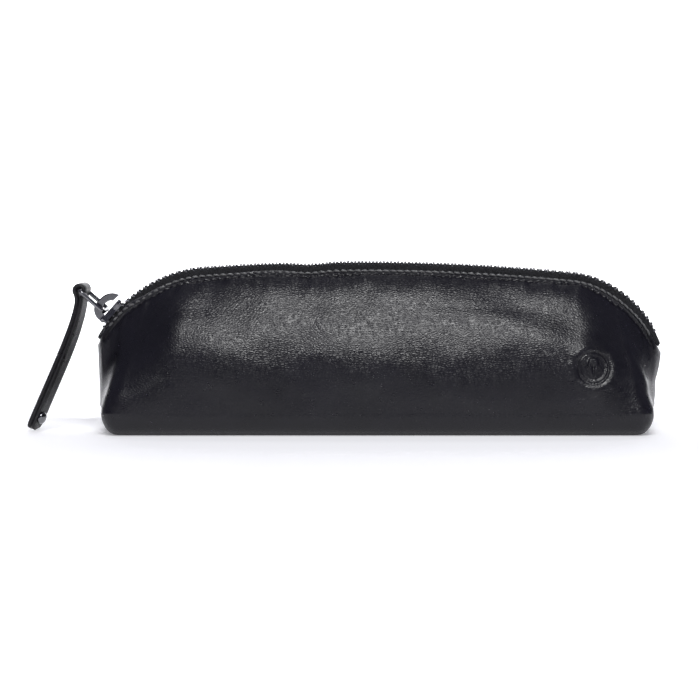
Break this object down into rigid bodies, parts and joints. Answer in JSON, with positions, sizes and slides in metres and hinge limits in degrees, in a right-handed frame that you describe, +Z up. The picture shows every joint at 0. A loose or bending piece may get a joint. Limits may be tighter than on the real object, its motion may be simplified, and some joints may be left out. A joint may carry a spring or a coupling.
{
  "type": "zipped pen case",
  "caption": "Boxed leather pen case with a flat base, a domed zip, a slider on a wire ring and a folded leather pull strap.",
  "frame": {"origin": "middle of the flat base, on the surface the case stands on", "axes": "+X to the right along the length with the slider at the left, +Y to the back, +Z up"},
  "size_m": [0.2236, 0.049, 0.0599],
  "materials": {
    "leather": "fine-grained black leather, semi-matt",
    "strap_leather": "black leather with painted edges",
    "lining": "plain woven black lining",
    "board": "grey-brown stiffener board",
    "tape": "woven black zip tape",
    "teeth": "black nickel",
    "stops": "black nickel",
    "slider_metal": "polished black nickel",
    "ring_metal": "polished black nickel",
    "rivet_metal": "polished black nickel"
  },
  "bodies": {
    "case": {"leather_body": "leather", "lining": "lining", "base_board": "board", "zip_tape_front": "tape", "zip_tape_back": "tape", "zip_teeth_front": "teeth", "zip_teeth_back": "teeth", "top_stop_front": "stops", "top_stop_back": "stops", "bottom_stop": "stops"},
    "slider": {"zip_slider": "slider_metal"},
    "ring": {"ring_link": "ring_metal"},
    "strap": {"pull_strap": "strap_leather", "rivet_cap": "rivet_metal", "rivet_post": "rivet_metal"}
  },
  "joints": [
    {"name": "slider_travel", "type": "hinge", "parent": "case", "child": "slider", "pos_m": [-0.05796, 0, 0.01046], "axis": [0, 1, 0], "range_deg": [-3, 41], "deforming": ["zip_teeth_front", "zip_teeth_back", "zip_tape_front", "zip_tape_back"]},
    {"name": "ring_swing", "type": "hinge", "parent": "slider", "child": "ring", "pos_m": [-0.09646, 0, 0.04278], "axis": [0.13, 0.9842, 0.12], "range_deg": [-8, 65]},
    {"name": "strap_swing", "type": "hinge", "parent": "ring", "child": "strap", "pos_m": [-0.10491, 0.00022, 0.05013], "axis": [0.13, 0.9842, 0.12], "range_deg": [-8, 110]}
  ]
}
